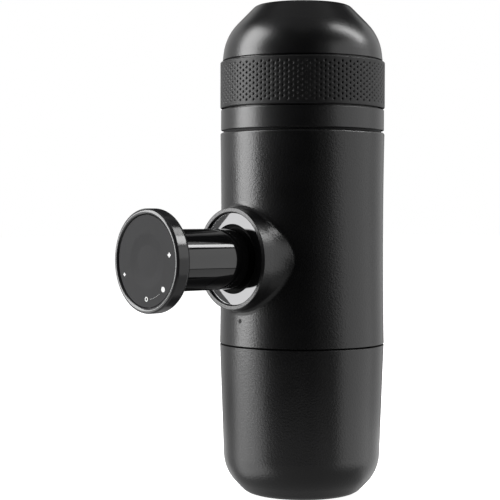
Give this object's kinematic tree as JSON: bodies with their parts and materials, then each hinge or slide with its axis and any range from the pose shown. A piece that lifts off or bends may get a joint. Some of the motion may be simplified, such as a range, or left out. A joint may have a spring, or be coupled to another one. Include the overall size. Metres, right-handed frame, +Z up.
{
  "type": "handheld manual espresso maker",
  "caption": "Handheld manual espresso maker: upright round body with water tank, sideways hand-pump piston with round push knob, knurled outlet head and domed cup on top.",
  "frame": {"origin": "centre of the flat foot of the water tank, on the body's axis", "axes": "+Z up along the body's axis, -Y along the piston towards the knob"},
  "size_m": [0.0592, 0.1005, 0.175],
  "materials": {
    "body_paint": "fine matte soft-touch black",
    "cup_paint": "semi-gloss black",
    "grip_rubber": "matte knurled",
    "mirror_plate": "mirror polished",
    "shaft_gloss": "high gloss black",
    "knob_gloss": "satin gloss black",
    "face_matte": "matte dark grey",
    "seal_rubber": "matte",
    "steel": "satin",
    "inner_plastic": "moulded matte",
    "bush_plastic": "natural low-friction plastic",
    "scoop_plastic": "moulded matte"
  },
  "bodies": {
    "tank": {"water_tank": "body_paint"},
    "main": {"main_shell": "body_paint", "tank_seal": "seal_rubber", "inlet_strainer": "steel", "bulkhead": "inner_plastic", "bulkhead_screws": "steel", "frame_posts": "steel", "valve_manifold": "inner_plastic", "inlet_valve_spring": "steel", "outlet_valve_spring": "steel", "brew_tube": "steel", "pump_barrel": "inner_plastic", "barrel_cap": "bush_plastic", "collar_plate": "mirror_plate", "shaft_wiper": "seal_rubber", "guide_bush": "bush_plastic", "lock_ring": "bush_plastic", "return_spring": "steel", "group_head": "inner_plastic", "group_gasket": "seal_rubber", "dispersion_screen": "steel", "screen_screw": "steel"},
    "inlet_ball": {"inlet_valve_ball": "steel"},
    "outlet_ball": {"outlet_valve_ball": "steel"},
    "piston": {"piston_rod": "steel", "piston_head": "bush_plastic", "piston_ring": "seal_rubber", "knob_screw": "steel"},
    "handle": {"shaft_sleeve": "shaft_gloss", "knob": "knob_gloss", "knob_face": "face_matte"},
    "basket": {"filter_basket": "steel"},
    "head": {"outlet_head": "body_paint", "head_seal": "seal_rubber", "grip_ring": "grip_rubber", "cup_gasket": "seal_rubber"},
    "cup": {"cup": "cup_paint"},
    "scoop": {"scoop": "scoop_plastic"}
  },
  "joints": [
    {"name": "body_lift", "type": "slide", "parent": "tank", "child": "main", "axis": [0, 0, 1], "range_m": [0, 0.02]},
    {"name": "head_lift", "type": "slide", "parent": "main", "child": "head", "axis": [0, 0, 1], "range_m": [0, 0.036]},
    {"name": "basket_lift", "type": "slide", "parent": "main", "child": "basket", "axis": [0, 0, 1], "range_m": [0, 0.02]},
    {"name": "cup_lift", "type": "slide", "parent": "head", "child": "cup", "axis": [0, 0, 1], "range_m": [0, 0.03]},
    {"name": "scoop_lift", "type": "slide", "parent": "head", "child": "scoop", "axis": [0, 0, 1], "range_m": [0, 0.012]},
    {"name": "piston_push", "type": "slide", "parent": "main", "child": "piston", "axis": [0, 1, 0], "range_m": [0, 0.0305], "stiffness_N_per_m": 350, "springref_m": -0.012, "deforming": ["return_spring"]},
    {"name": "lock_turn", "type": "hinge", "parent": "piston", "child": "handle", "pos_m": [0, 0, 0.08465], "axis": [0, 1, 0], "range_deg": [0, 45]},
    {"name": "inlet_ball_lift", "type": "slide", "parent": "main", "child": "inlet_ball", "axis": [0, 0, 1], "range_m": [0, 0.0008], "stiffness_N_per_m": 40, "springref_m": -0.001, "deforming": ["inlet_valve_spring"]},
    {"name": "outlet_ball_lift", "type": "slide", "parent": "main", "child": "outlet_ball", "axis": [0, 0, 1], "range_m": [0, 0.0008], "stiffness_N_per_m": 40, "springref_m": -0.001, "deforming": ["outlet_valve_spring"]}
  ],
  "couplings": [
    {"joint": "basket_lift", "follows": "head_lift", "ratio": 0.5555},
    {"joint": "scoop_lift", "follows": "cup_lift", "ratio": 0.4}
  ]
}
